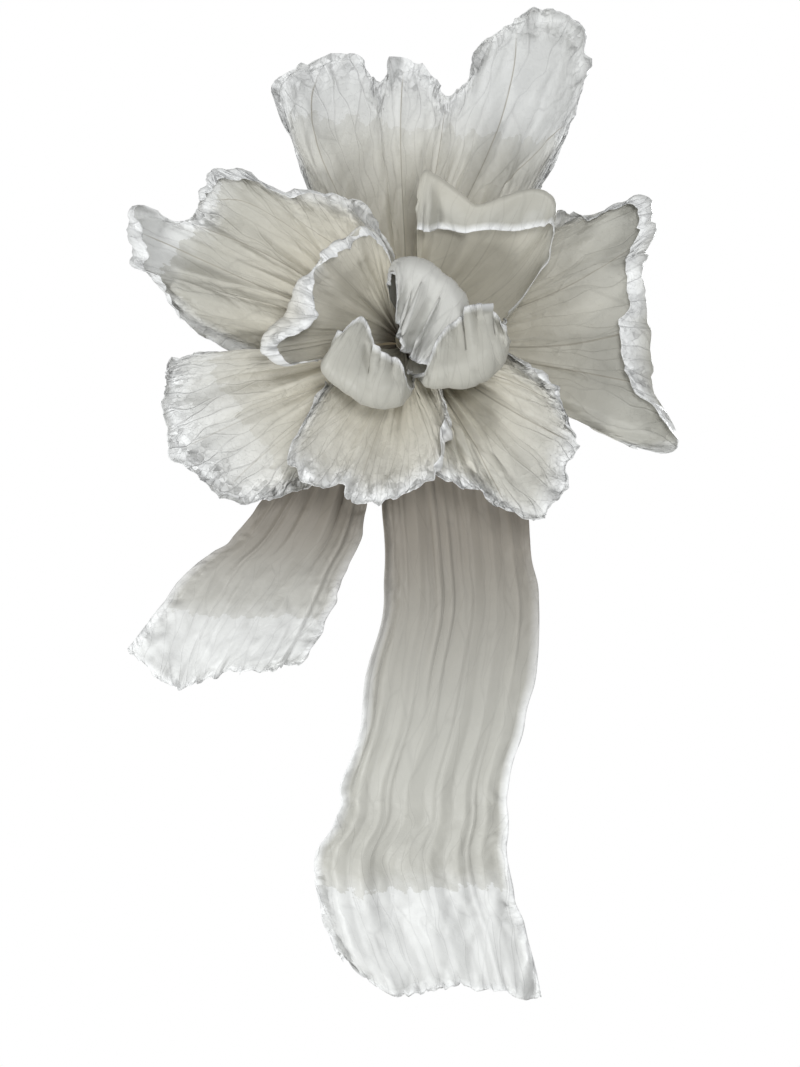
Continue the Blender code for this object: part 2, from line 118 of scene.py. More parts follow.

# node: CAD sheet it replaces; seat, throat, leave, arrive, fold, flap and pleat: as the solid's gather and
# folds; wires: where each wire passes, in ribs, at the throat, half-way and at the rim; torn: how far along
# the sheet its second layer ends, how much painted shade that layer takes, and how much painted shade the
# gather takes; crush: how strongly the sheet is kneaded; ribs: for each radial line, the clock, reach and
# lift of its outermost point, then the length of the lip that folds over beyond it and how far that lip rolls
Petal = namedtuple("Petal", "node seat throat leave arrive fold flap pleat wires torn crush ribs")

OUTER_PETALS = (
    Petal("top_petal", 34, (-24, 32), 42, 2, 14, None, 7, (
        (3, 1.8, 3), (7, 6.1, 6.2), (9, 8.4, 7.9), (11, 11.7, 10.6), (13, 13.4, 14.1)), (500, 0.6, 1), 1.0, (
        (-37, 300, 215, 15, 25), (-31, 470, 235, 18, 30), (-27, 604, 250, 22, 50), (-18, 617, 225, 18, 30),
        (-9.5, 610, 205, 18, 35), (-6.5, 556, 195, 15, 30), (-1.5, 604, 188, 15, 30), (6, 568, 190, 15, 25),
        (10.5, 530, 192, 15, 30), (14.5, 600, 200, 25, 50), (17, 705, 205, 30, 70), (22, 744, 212, 45, 100),
        (28, 758, 225, 60, 120), (33.5, 688, 240, 55, 110), (37.5, 600, 260, 30, 60),
        (43, 420, 250, 15, 30))),
    Petal("right_petal", 34, (62, 116), 42, 0, 10, None, 8, (
        (3, 5, 4.4), (7, 7.4, 6.8), (8.6, 8.2, 8.2), (11, 11, 11)), (660, 0.95, 1), 1.0, (
        (49.5, 370, 215, 15, 30), (54.5, 426, 230, 30, 90), (58, 500, 235, 45, 150),
        (60.5, 590, 240, 55, 165), (66.5, 590, 230, 70, 165), (72, 545, 220, 75, 170),
        (81, 540, 215, 75, 170), (90, 537, 215, 85, 170), (101, 557, 225, 90, 165), (107, 598, 235, 65, 150),
        (113, 640, 250, 40, 100), (117, 548, 245, 25, 60))),
    Petal("upper_left_petal", 47, (-88, -33), 44, 5, 10, None, 8, (
        (3, 4.8, 5.4), (7, 8.1, 7.2), (9, 11.2, 8.6), (13, 13.2, 10.8)), (560, 1.0, 1), 0.9, (
        (-102, 270, 140, 15, 20), (-93, 390, 185, 15, 30), (-85, 495, 225, 25, 90),
        (-78.5, 560, 250, 50, 150), (-76.5, 606, 255, 60, 160), (-71.5, 624, 250, 55, 150),
        (-66.5, 648, 245, 40, 120), (-64, 560, 238, 20, 60), (-60, 515, 240, 20, 60),
        (-55, 532, 250, 40, 130), (-50.5, 548, 260, 55, 155), (-46, 490, 265, 50, 155),
        (-42.5, 408, 265, 35, 150), (-33, 350, 260, 30, 140), (-23, 304, 255, 25, 120),
        (-15, 240, 228, 15, 60), (-9, 180, 195, 12, 30))),
    Petal("lower_right_petal", 47, (110, 160), 48, 8, 10, None, 8, (
        (3, 3, 3), (5, 5.3, 5), (9, 8.8, 9)), (600, 0.7, 1), 1.2, (
        (94, 165, 205, 20, 60), (103.5, 250, 258, 30, 130), (111.5, 320, 300, 35, 150),
        (116, 370, 300, 35, 150), (120, 414, 295, 30, 120), (124, 445, 290, 20, 60), (131, 467, 280, 18, 50),
        (137.5, 494, 280, 18, 40), (144.5, 502, 285, 20, 50), (150, 448, 275, 18, 40),
        (154, 388, 270, 15, 30), (159, 356, 270, 15, 30), (166, 325, 262, 15, 30), (174, 260, 240, 15, 20))),
    Petal("lower_left_petal", 59, (-147, -102), 44, -2, 10, None, 12, (
        (3, 3.2, 3), (5, 5, 5), (9, 8.8, 9)), (430, 0.7, 1), 1.2, (
        (-152, 330, 172, 15, 30), (-146, 403, 172, 18, 40), (-139, 476, 196, 22, 60),
        (-131, 538, 192, 22, 60), (-124, 547, 208, 18, 50), (-117, 567, 192, 18, 40),
        (-111.5, 556, 208, 18, 50), (-105, 546, 196, 25, 80), (-101, 524, 212, 25, 90),
        (-97.5, 520, 222, 30, 120), (-95.5, 442, 235, 22, 60))),
    Petal("upper_right_petal", 59, (14, 64), 54, 40, 12, (-2, 30), 8, (
        (3, 3, 3), (6.9, 5.6, 5), (9, 8.6, 7.2)), (600, 1.0, 1), 0.5, (
        (5, 285, 322, 95, 150), (7.5, 330, 328, 143, 155), (13.5, 323, 322, 132, 155),
        (23, 308, 316, 104, 155), (31, 306, 315, 80, 155), (37.5, 350, 318, 92, 155),
        (43, 402, 322, 112, 155), (49, 414, 320, 80, 150), (55, 380, 310, 30, 90), (63, 335, 300, 20, 60),
        (72, 282, 285, 15, 30), (80, 225, 262, 15, 20))),
    Petal("bottom_petal", 71, (165, 209), 54, 22, 10, None, 5, (
        (3, 3, 3), (7, 7, 7), (11, 11, 11)), (600, 0.3, 1), 0.95, (
        (147, 150, 225, 20, 90), (155, 215, 272, 40, 150), (162, 262, 300, 45, 150), (167, 314, 318, 25, 60),
        (175, 343, 310, 15, 30), (183, 362, 302, 15, 30), (190, 379, 300, 15, 30), (196.5, 374, 300, 15, 30),
        (202.5, 356, 300, 15, 30), (208.5, 377, 305, 15, 30), (216, 379, 315, 15, 30),
        (222, 380, 328, 20, 80), (228, 292, 292, 20, 90), (236, 200, 228, 15, 60))),
)

INNER_PETALS = (
    Petal("inner_left_petal", 85, (-98, -22), 60, 50, 10, None, 5, (
        (3, 3, 3), (7, 7, 7), (9, 9, 9)), (600, 0.5, 1), 0.8, (
        (-108, 195, 280, 15, 30), (-105, 262, 322, 25, 80), (-100.5, 301, 350, 45, 130),
        (-95, 296, 360, 70, 150), (-86, 252, 352, 75, 150), (-73, 244, 352, 55, 150),
        (-62, 237, 352, 35, 120), (-50, 237, 352, 40, 130), (-36, 234, 350, 45, 140),
        (-21.5, 236, 342, 45, 140), (-12, 180, 296, 25, 110), (-8, 120, 232, 12, 40))),
    Petal("inner_bottom_petal", 90, (-184, -132), 66, 58, 40, (-198, -140), 4, (
        (3, 3, 3), (5, 5, 5)), (600, 1.0, 0.1), 0.7, (
        (-192, 106, 232, 15, 20), (-186, 138, 276, 50, 70), (-177, 170, 304, 145, 132),
        (-158, 180, 314, 164, 135), (-143, 188, 316, 196, 135), (-129, 198, 316, 203, 135),
        (-117, 202, 312, 140, 130), (-108, 162, 288, 55, 100))),
    Petal("centre_right_petal", 101, (96, 158), 64, 55, 42, (166, 184), 4, (
        (3, 3, 3), (5, 5, 5)), (600, 1.0, 0.1), 0.7, (
        (86, 212, 300, 26, 90), (102, 224, 320, 80, 135), (111, 218, 320, 160, 135),
        (125, 193, 320, 207, 137), (141, 171, 320, 192, 138), (152, 147, 321, 148, 134),
        (161, 124, 302, 56, 110), (177, 84, 236, 20, 50))),
    Petal("centre_petal", 114, (4, 86), 70, 60, 40, (2, 48), 4, (
        (3, 3, 3), (5, 5, 5)), (600, 0.45, 0.1), 0.7, (
        (-22, 106, 262, 26, 50), (-8, 140, 290, 70, 100), (5, 148, 296, 178, 126), (20, 152, 298, 240, 127),
        (38, 152, 296, 250, 128), (58, 148, 293, 226, 129), (79, 146, 288, 176, 129), (98, 140, 280, 96, 120),
        (112, 110, 264, 30, 60))),
)

# A hanging sheet runs between two rails of (x, z, lift) points, top to bottom; hem is how far its lower edge
# hangs past the straight line between its corners; folds: height of its pleats at (share of the width, mm);
# seam: length along it where its second layer ends, and how much painted shade that layer takes
Hanging = namedtuple("Hanging", "node folds seam left right hem")

HANGING_SHEETS = (
    Hanging("long_tail", (
        (0, 6), (0.05, -6), (0.11, 7), (0.17, -9), (0.24, 6), (0.31, -8), (0.39, 4), (0.5, -2), (0.6, 8),
        (0.67, -9), (0.74, 7), (0.81, -9), (0.87, 8), (0.94, -6), (1, 6)), (1190, 0.85), (
        (-12, -15, 17), (-40, -110, 28), (-56, -240, 42), (-54, -368, 55), (-47, -497, 62), (-50, -611, 66),
        (-84, -745, 72), (-100, -870, 78), (-143, -1005, 82), (-154, -1085, 86), (-204, -1165, 92),
        (-199, -1258, 98), (-174, -1344, 102), (-143, -1400, 108)), (
        (12, -15, 17), (110, -110, 28), (225, -240, 42), (273, -368, 55), (293, -497, 62), (309, -611, 66),
        (298, -745, 72), (272, -870, 78), (238, -1005, 82), (236, -1085, 86), (231, -1165, 92),
        (248, -1258, 98), (276, -1344, 102), (309, -1487, 108)), (0, 44, 58, 30, 12, 6, 2, 0)),
    Hanging("short_tail", (
        (0, 5), (0.07, -5), (0.15, 7), (0.22, -8), (0.31, 6), (0.41, -8), (0.5, 3), (0.59, -7), (0.68, 8),
        (0.77, -8), (0.85, 6), (0.92, -6), (1, 5)), (760, 0.65), (
        (-18, -6, 27), (-120, -110, 40), (-230, -240, 58), (-324, -361, 70), (-397, -452, 80),
        (-470, -502, 86), (-529, -565, 92), (-579, -638, 98), (-626, -702, 104)), (
        (-6, -18, 27), (-46, -110, 40), (-72, -240, 58), (-84, -368, 70), (-102, -452, 80),
        (-134, -525, 86), (-156, -588, 92), (-193, -667, 98), (-231, -729, 104)),
        (0, 50, 72, 62, 36, 22, 22, 4)),
)

# Finished grids of points and normals by node, which the wires follow
SHEETS = {}


def linear(code):
    """Linear colour of an sRGB hex code."""
    parts = [int(code[k:k + 2], 16) / 255 for k in (1, 3, 5)]
    return tuple(p / 12.92 if p <= 0.04045 else ((p + 0.055) / 1.055) ** 2.4 for p in parts)


def length_setting(name, description, default, least=0.0):
    return bpy.props.FloatProperty(
        name=name, description=description, default=default, min=least, unit="LENGTH")


def colour_setting(name, description, code):
    return bpy.props.FloatVectorProperty(
        name=name, description=description, default=linear(code), min=0, max=1, subtype="COLOR")


def power_setting(name, description, default):
    return bpy.props.FloatProperty(name=name, description=description, default=default, min=0, unit="POWER")


class PaperSizes(bpy.types.PropertyGroup):
    thickness: length_setting("Thickness", "Two crumpled layers of paper", 0.0008, 0.0001)
    spacing: length_setting("Point spacing", "Distance between points near the rims", 0.0044, 0.002)
    facet_depth: length_setting("Facet depth", "Depth of the crumpled facets", 0.0052)
    wrinkle_depth: length_setting("Wrinkle depth", "Depth of the radial wrinkles", 0.0065)
    ragged_edge: length_setting("Ragged edge", "How far the torn rim wanders", 0.006)


class PaperColours(bpy.types.PropertyGroup):
    curled_rim: colour_setting("Curled rim", "Paper at a rim, where light shines through it", "#f4f4f2")
    single_layer: colour_setting("Single layer", "Paper where it is one layer thick", "#dfdfdc")
    # Painted shade: less light shines through where a second layer lies behind
    shaded_double_layer: colour_setting("Double layer", "Paper where a second layer lies behind it", "#b7b5ab")
    gathered: colour_setting("Gathered", "Paper near the post, where no light shines through it", "#d8d2c1")
    # Painted shade deep in a petal's throat, and painted shadow of the flower on the top of a hanging sheet
    packed_shade: colour_setting("Packed folds", "Paper where many folds lie behind each other", "#878075")
    # Painted shadow of a wire seen through the paper
    wire_shadow: colour_setting("Wire line", "Paper drawn tight over a wire", "#a8a294")
    plywood: colour_setting("Plywood", "Poplar face veneer", "#d6c8ae")
    zinc: colour_setting("Zinc", "Bright zinc plating", "#c9c9c6")


class StudioSizes(bpy.types.PropertyGroup):
    camera_distance: length_setting("Camera distance", "From the wall to the camera", 3.7, 1)
    camera_height: length_setting("Camera height", "Up from the flower's axis", -0.437, -2)
    camera_side: length_setting("Camera side", "To the right of the flower's axis", -0.011, -1)
    camera_lens: bpy.props.FloatProperty(
        name="Focal length", description="For a sensor 36 mm wide", default=53.68, min=1, unit="CAMERA")
    floor_drop: length_setting("Floor drop", "From the flower's axis down to the floor", 2.0, 1.5)
    floor_radius: length_setting("Floor radius", "Radius of the round floor", 0.95, 0.1)
    lamp_size: length_setting("Lamp size", "Diameter of each round lamp", 0.9, 0.01)
    key_power: power_setting("Key light", "Power of the wide lamp at the lower left", 56)
    fill_power: power_setting("Fill light", "Power of the wide lamp in front", 43)
    side_power: power_setting("Side light", "Power of the wide lamp at the right", 15)
    top_power: power_setting("Top light", "Power of the wide lamp above", 8)
    back_power: power_setting("Back light", "Power of the wide lamp behind", 105)
    sky: bpy.props.FloatProperty(
        name="Sky", description="Strength of the even white light", default=0.34, min=0)


def spline(values, place):
    """Values of a Catmull-Rom curve through evenly spaced values, with place from 0 to 1."""
    values = np.asarray(values, float)
    last = len(values) - 1
    index = np.clip((np.asarray(place) * last).astype(int), 0, last - 1)
    t = np.asarray(place) * last - index
    before = values[np.maximum(index - 1, 0)]
    start = values[index]
    end = values[index + 1]
    after = values[np.minimum(index + 2, last)]
    return 0.5 * (2 * start + (end - before) * t + (2 * before - 5 * start + 4 * end - after) * t * t
                  + (3 * start - before - 3 * end + after) * t * t * t)


def between(ends, share):
    return ends[0] + (ends[1] - ends[0]) * share


def directions(clocks):
    clocks = np.radians(clocks)
    return np.stack([np.sin(clocks), np.zeros_like(clocks), np.cos(clocks)], -1)


def smooth_step(low, high, value):
    t = np.clip((value - low) / (high - low), 0, 1)
    return t * t * (3 - 2 * t)


FORWARD = np.array([0.0, -1.0, 0.0])


def crumple_tile(side=56, cells=10):
    """One square of crumpled facets: flat triangles between scattered points of random height."""
    rng = np.random.default_rng(11)
    places = np.stack(np.meshgrid(np.arange(side), np.arange(side), indexing="ij"), -1).reshape(-1, 2)
    places = places + rng.uniform(-0.46, 0.46, places.shape)
    heights = rng.normal(size=len(places))
    places = [Vector(place) for place in places]
    found, _, triangles, sources, _, _ = geometry.delaunay_2d_cdt(places, [], [], 0, 1e-6)
    heights = np.array([heights[source[0]] for source in sources])
    corners = np.array([tuple(p) for p in found]) * cells
    size = (side - 1) * cells
    tile = np.zeros((size, size))
    for triangle in triangles:
        a, b, c = corners[list(triangle)]
        low = np.maximum(np.floor(np.minimum(np.minimum(a, b), c)).astype(int), 0)
        high = np.minimum(np.ceil(np.maximum(np.maximum(a, b), c)).astype(int) + 1, size)
        if (high <= low).any():
            continue
        x, y = np.meshgrid(np.arange(low[0], high[0]), np.arange(low[1], high[1]), indexing="ij")
        area = (b[0] - a[0]) * (c[1] - a[1]) - (c[0] - a[0]) * (b[1] - a[1])
        if abs(area) < 1e-9:
            continue
        p = ((b[0] - x) * (c[1] - y) - (c[0] - x) * (b[1] - y)) / area
        q = ((c[0] - x) * (a[1] - y) - (a[0] - x) * (c[1] - y)) / area
        inside = (p >= -1e-6) & (q >= -1e-6) & (p + q <= 1 + 1e-6)
        value = p * heights[triangle[0]] + q * heights[triangle[1]] + (1 - p - q) * heights[triangle[2]]
        patch = tile[low[0]:high[0], low[1]:high[1]]
        patch[inside] = value[inside]
    return tile, cells


TILE, TILE_CELLS = crumple_tile()


def facets(x, y, spacing, seed):
    """Height of crumpled facets at flat-sheet places in millimetres, about one unit deep."""
    rng = np.random.default_rng(seed)
    turn = rng.uniform(0, pi)
    shift = rng.uniform(0, 1000, 2)
    size = TILE.shape[0] - 1
    u = (x * np.cos(turn) - y * np.sin(turn)) / spacing * TILE_CELLS + shift[0]
    v = (x * np.sin(turn) + y * np.cos(turn)) / spacing * TILE_CELLS + shift[1]
    u = size - np.abs(np.mod(u, 2 * size) - size)
    v = size - np.abs(np.mod(v, 2 * size) - size)
    i = np.clip(u.astype(int), 0, size - 1)
    j = np.clip(v.astype(int), 0, size - 1)
    s = u - i
    t = v - j
    return ((1 - s) * (1 - t) * TILE[i, j] + s * (1 - t) * TILE[i + 1, j]
            + (1 - s) * t * TILE[i, j + 1] + s * t * TILE[i + 1, j + 1])


def jagged(place, count, rng):
    """A line that wanders in straight bits, about one unit either way."""
    bends = np.sort(np.append(rng.uniform(0, 1, count - 2), (0, 1)))
    return np.interp(place, bends, rng.uniform(-1, 1, count))


def grid_normals(points):
    across = np.gradient(points, axis=0)
    along = np.gradient(points, axis=1)
    normals = np.cross(across, along)
    return normals / np.maximum(np.linalg.norm(normals, axis=-1, keepdims=True), 1e-9)


def petal_surface(petal, across, along, rng, ragged):
    """Unfolded petal: points for each place across the ribs and each row along them."""
    clock, reach, lift, lip, roll = (spline(values, across) for values in zip(*petal.ribs))
    # The rim wanders in bits some 35, 10, 14 and 6 mm long
    width = np.radians(np.ptp(clock)) * reach.mean()
    long_bits = np.minimum(0.22 * lip, 2 * ragged) * jagged(across, int(width / 35), rng)
    lip = np.maximum(lip + long_bits + ragged * jagged(across, int(width / 10), rng), 5)
    reach = reach + 0.5 * ragged * sum(jagged(across, int(width / bit), rng) for bit in (14, 6))
    roll = np.radians(np.maximum(roll * (1 + 0.12 * jagged(across, 18, rng)), 8))
    throat = directions(between(petal.throat, across))
    outward = directions(between(petal.flap, across) if petal.flap else clock)
    leave = radians(petal.leave)
    arrive = radians(petal.arrive)
    fold = np.minimum(petal.fold, lip / roll)
    quarter = np.minimum(arrive + roll, pi / 2)
    end = directions(clock) * reach[:, None] + FORWARD * lift[:, None]
    end -= outward * (fold * (np.sin(quarter) - np.sin(arrive)))[:, None]
    start = throat * THROAT_RADIUS + FORWARD * petal.seat
    pull = SLOPE_PULL * np.linalg.norm(end - start, axis=-1, keepdims=True)
    first = start + (throat * np.cos(leave) + FORWARD * np.sin(leave)) * pull
    second = end - (outward * np.cos(arrive) + FORWARD * np.sin(arrive)) * pull
    t = np.minimum(along, 1)[None, :, None]
    body = (start[:, None] * (1 - t) ** 3 + first[:, None] * 3 * (1 - t) ** 2 * t
            + second[:, None] * 3 * (1 - t) * t ** 2 + end[:, None] * t ** 3)
    travelled = np.maximum(along - 1, 0)[None, :] * lip[:, None]
    arc = (fold * roll)[:, None]
    turn = np.minimum(travelled, arc) / fold[:, None]
    straight = np.maximum(travelled - arc, 0)
    out = fold[:, None] * (np.sin(arrive + turn) - np.sin(arrive)) + straight * np.cos(arrive + turn)
    raised = fold[:, None] * (np.cos(arrive) - np.cos(arrive + turn)) + straight * np.sin(arrive + turn)
    return body + outward[:, None] * out[..., None] + FORWARD * raised[..., None]


def flat_places(points, clocks):
    """Each point's height on the sheet laid flat, and its distance along it from the throat's centre."""
    steps = np.linalg.norm(np.diff(points, axis=1), axis=-1)
    run = np.concatenate([np.zeros((points.shape[0], 1)), np.cumsum(steps, axis=1)], axis=1) + THROAT_RADIUS
    spread = np.radians(clocks - clocks.mean())[:, None]
    return run * np.cos(spread), run


def creases(across, share, span, sizes, wander, rng):
    """Folds that run the sheet's length, wander and fade, about one unit high; span is the width in mm.

    Each one rises slowly on one side and drops steeply on the other, as a fold pressed by hand does.
    """
    height = np.zeros_like(share)
    for _ in range(int(np.max(span) / CREASE_SPACING)):
        centre = rng.uniform(-0.02, 1.02)
        sway = rng.normal(0, wander)
        phase = rng.uniform(0, 2 * pi)
        start = rng.choice([-0.2, rng.uniform(0, 0.75)])
        stop = start + rng.uniform(0.3, 1.0)
        strength = rng.choice([-1, 1], p=[0.35, 0.65]) * rng.uniform(0.25, 1.0)
        wide = rng.uniform(*sizes)
        steep = rng.uniform(1.2, 2.6)
        away = (across - centre - sway * np.sin(share * 4 + phase)) * span * rng.choice([-1, 1])
        window = smooth_step(start, start + 0.15, share) * (1 - smooth_step(stop - 0.2, stop, share))
        height += strength * window * np.exp(-np.where(away < 0, -away / wide, away / steep))
    return height


def crumple(x, y, rim, seed):
    """Crumpled facets: long soft ones over the sheet, small sharp ones towards the rim."""
    return (1.3 * facets(x, y * 0.4, 80, seed) + 0.25 * facets(x, y * 0.45, 30, seed + 1)
            + rim * (1.4 * facets(x, y * 0.7, 40, seed + 2) + 0.7 * facets(x, y * 0.9, 20, seed + 3)))


def relief_of(height, reach):
    """How far each point stands above (1) or below (-1) its neighbours within reach columns."""
    padded = np.pad(height, ((reach + 1, reach), (0, 0)), mode="edge")
    total = np.cumsum(padded, axis=0)
    mean = (total[2 * reach + 1:] - total[:-2 * reach - 1]) / (2 * reach + 1)
    return np.clip((height - mean) / RELIEF_DEPTH, -1, 1)


def build_sheet(node, points, thickness, layers):
    """Closed sheet of paper about a grid of points in mm; layers holds three fields in mm for each name."""
    normals = grid_normals(points)
    columns, rows = points.shape[:2]
    offset = normals * (thickness / MM / 2)
    places = np.concatenate([(points + offset).reshape(-1, 3), (points - offset).reshape(-1, 3)]) * MM
    index = np.arange(columns * rows).reshape(columns, rows)
    front = np.stack([index[:-1, :-1], index[1:, :-1], index[1:, 1:], index[:-1, 1:]], -1).reshape(-1, 4)
    back = front[:, ::-1] + columns * rows
    ring = np.concatenate([index[:, 0], index[-1, 1:], index[-2::-1, -1], index[0, -2:0:-1]])
    after = np.roll(ring, -1)
    edge = np.stack([after, ring, ring + columns * rows, after + columns * rows], -1)
    faces = np.concatenate([front, back, edge])
    mesh = bpy.data.meshes.new(node + "_paper")
    mesh.vertices.add(len(places))
    mesh.vertices.foreach_set("co", places.ravel())
    mesh.loops.add(faces.size)
    mesh.loops.foreach_set("vertex_index", faces.ravel())
    mesh.polygons.add(len(faces))
    mesh.polygons.foreach_set("loop_start", np.arange(0, faces.size, 4))
    mesh.update(calc_edges=True)
    mesh.polygons.foreach_set("use_smooth", np.ones(len(faces), bool))
    for key, fields in layers.items():
        values = np.stack([np.broadcast_to(field, (columns, rows)) for field in fields], -1)
        values = values.reshape(-1, 3) * MM
        attribute = mesh.attributes.new(key, "FLOAT_VECTOR", "POINT")
        attribute.data.foreach_set("vector", np.tile(values, (2, 1)).astype(np.float32).ravel())
    piece = bpy.data.objects.new(mesh.name, mesh)
    bpy.context.collection.objects.link(piece)
    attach(piece, "root")
    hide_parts(node)
    mesh.materials.append(kneaded_paper())


def petal_rows(petal, spacing):
    """Places along the petal: rows far apart in the gather and close in the outer half and over the lip."""
    _, reach, _, lip, _ = np.array(petal.ribs).max(axis=0)
    length = reach * 1.1
    inner = np.linspace(0, 0.4, int(0.4 * length / (2.4 * spacing)) + 1)
    outer = np.linspace(0.4, 1, int(0.6 * length / spacing) + 1)
    over = np.linspace(1, 2, max(7, int(lip / spacing)) + 1)
    return np.concatenate([inner, outer[1:], over[1:]])


def wire_places(petal, along):
    """Where each wire lies across the petal, from 0 to 1, at each row: a curve through its three places."""
    t = np.minimum(along, 1)
    last = len(petal.ribs) - 1
    for throat, middle, rim in petal.wires:
        yield (throat * (1 - t) * (1 - 2 * t) + middle * 4 * t * (1 - t) + rim * t * (2 * t - 1)) / last


def make_petal(petal, seed, per_rib):
    """A kneaded petal: gathered folds, radial wrinkles, crumpled facets and a ragged, curled rim."""
    sizes = bpy.context.scene.flower_paper
    rng = np.random.default_rng(seed)
    ribs = len(petal.ribs) - 1
    across = np.linspace(0, 1, ribs * per_rib + 1)
    along = petal_rows(petal, sizes.spacing / MM)
    # A flap that is folded right over has a calmer rim
    ragged = petal.crush * sizes.ragged_edge / MM * (0.5 if petal.flap else 1)
    points = petal_surface(petal, across, along, rng, ragged)
    clocks = spline([clock for clock, *_ in petal.ribs], across)
    flat_y, run = flat_places(points, clocks)
    edge = run[:, -1:] - run
    reach = run[:, -1].max()
    span = np.linalg.norm(np.diff(points, axis=0), axis=-1).sum(axis=0)[None, :]
    flat_x = (across[:, None] - 0.5) * span
    opened = np.minimum(along, 1)[None, :]
    normals = grid_normals(points)
    weights = spline(rng.uniform(0.5, 1.25, ribs + 1), across)[:, None]
    # Narrow petals take shallower folds
    breadth = min(1, span.max() / 900) ** 2
    rise = (petal.pleat - THROAT_PLEAT) * breadth
    depth = THROAT_PLEAT + rise * np.sin(pi * opened ** 0.7) ** 2 * (1 - 0.25 * opened)
    sides = np.where(np.arange(ribs + 1) % 2, -1.0, 1.0)
    depth += 0.4 * petal.crush * rise * smooth_step(0.6, 1, opened)
    height = np.interp(across * ribs, np.arange(ribs + 1), sides)[:, None] * depth * weights
    growth = smooth_step(0.02, 0.4, run / reach)
    rim = smooth_step(*PETAL_RIM, edge) * (0.25 + 0.9 * spline(rng.uniform(0, 1, ribs), across)[:, None])
    height += (petal.crush * sizes.wrinkle_depth / MM * (0.12 + 0.88 * growth) * breadth
               * creases(across[:, None], run / reach, span, *PETAL_CREASES, rng))
    height += petal.crush * sizes.facet_depth / MM * growth * crumple(flat_x, flat_y, rim, 10 * seed)
    # The distance to the nearest wire changes sign at each wire, so a line stays sharp between points
    wire = None
    for number, place in enumerate(wire_places(petal, along)):
        away = (across[:, None] - place[None]) * span * (-1) ** number
        wire = away if wire is None else np.where(np.abs(away) < np.abs(wire), away, wire)
    # The wires of the outer ring show most
    wired = (1 if petal.seat < 50 else 0.4) * smooth_step(1.0, 0.9, along)[None, :]
    height += WIRE_RIDGE * wired * growth * np.exp(-np.abs(wire) / WIRE_RIDGE_SPREAD)
    relief = relief_of(height, per_rib // 2)
    points = points + normals * height[..., None]
    wander = sum(size * jagged(across, count, rng) for size, count in TORN_BITS)
    torn = petal.torn[0] - flat_y + wander[:, None]
    # Painted shade towards the post: less light shines through the gathered paper, and the packed folds at
    # the throat are darker still; it fades out near the rim
    painted_shade = petal.torn[2] * (smooth_step(*GATHERED, run) + smooth_step(*THROAT_SHADE, run))
    painted_shade = painted_shade * smooth_step(0, 70, edge)
    fan = flat_x if petal.flap else np.radians(clocks)[:, None] * FAN_RADIUS
    # A flap that is folded right over keeps its pale rim narrow
    layers = {"flat": (flat_x, flat_y, edge * (4 if petal.flap else 1)),
              "gather": (fan, run, ONE * painted_shade),
              "marks": (wire, torn, ONE * petal.torn[1]),
              "fold": (ONE * relief, ONE * wired, ONE * petal.crush)}
    build_sheet(petal.node, points, sizes.thickness, layers)
    SHEETS[petal.node] = (points, grid_normals(points), along)


def make_hanging_sheet(sheet, seed, columns):
    """A hanging sheet with long soft pleats, running wrinkles and the torn end of its second layer."""
    sizes = bpy.context.scene.flower_paper
    rng = np.random.default_rng(seed)
    across = np.linspace(0, 1, columns + 1)
    rails = np.array([sheet.left, sheet.right], float)
    length = np.linalg.norm(np.diff(rails[0], axis=0), axis=-1).sum()
    along = np.linspace(0, 1, int(length / (1.5 * sizes.spacing / MM)) + 1)
    ends = [np.stack([spline(rail[:, axis], along) for axis in range(3)], -1) for rail in rails]
    ragged = sizes.ragged_edge / MM
    hem = spline(sheet.hem, across) + ragged * (jagged(across, 24, rng) + jagged(across, 70, rng))
    side = 0.6 * ragged * np.stack([spline(rng.uniform(-1, 1, 30), along) for _ in range(2)])
    inward = np.stack([smooth_step(0.12, 0, across), smooth_step(0.12, 0, 1 - across)])
    grid = ends[0][None] * (1 - across[:, None, None]) + ends[1][None] * across[:, None, None]
    x = grid[..., 0] + inward[0][:, None] * side[0][None] + inward[1][:, None] * side[1][None]
    z = grid[..., 1] - hem[:, None] * along[None] ** 8
    flat = np.stack([x, np.zeros_like(z), z], -1)
    radius = np.linalg.norm(flat, axis=-1, keepdims=True)
    edge = POST_RADIUS + GAP + 0.03
    flat = np.where(radius < edge, flat / np.maximum(radius, 1e-6) * edge, flat)
    points = flat + FORWARD * grid[..., 2:3]
    span = np.linalg.norm(np.diff(points, axis=0), axis=-1).sum(axis=0)[None, :]
    run = along[None, :] * length + np.zeros_like(z)
    growth = smooth_step(0, 0.2, along)[None]
    drift = 0.012 * np.sin(along * 6 + rng.uniform(0, 6)) + 0.004 * np.sin(along * 15 + rng.uniform(0, 6))
    shifted = across[:, None] + drift[None] * np.sin(pi * across)[:, None] * growth
    shares, heights = np.array(sheet.folds).T
    fade = 0.65 + 0.35 * np.cos(along * 9 + rng.uniform(0, 6))[None]
    lower = smooth_step(0.5, 0.95, along)[None]
    height = np.interp(shifted, shares, heights) * fade * np.minimum(0.14 + 2.6 * along, 1)[None]
    height *= 1 - 0.5 * lower
    wrinkles = creases(across[:, None], along[None] + 0 * z, span, *HANGING_CREASES, rng)
    height += 1.3 * sizes.wrinkle_depth / MM * wrinkles * growth
    flat_x = (across[:, None] - 0.5) * span
    border = np.minimum(length - run, np.minimum(across, 1 - across)[:, None] * span)
    rim = smooth_step(*HANGING_RIM, border)
    kneading = crumple(flat_x, run, rim + 0.5 * lower, 10 * seed)
    height += sizes.facet_depth / MM * growth * (0.4 + 0.6 * lower) * kneading
    relief = relief_of(height, 4)
    points = points + FORWARD * height[..., None]
    torn = sheet.seam[0] - run + 4 * jagged(across, 40, rng)[:, None]
    # Painted shadow of the flower on the top of the sheet, where its folds are packed
    packed_shade = 1 + smooth_step(*HANGING_SHADOW, run)
    layers = {"flat": (flat_x, run, 3 * border),
              "gather": (flat_x, run, -ONE * packed_shade),
              "marks": (NO_WIRE, torn, ONE * sheet.seam[1]),
              "fold": (ONE * relief, 0, ONE * (0.3 + 0.4 * lower))}
    build_sheet(sheet.node, points, sizes.thickness, layers)


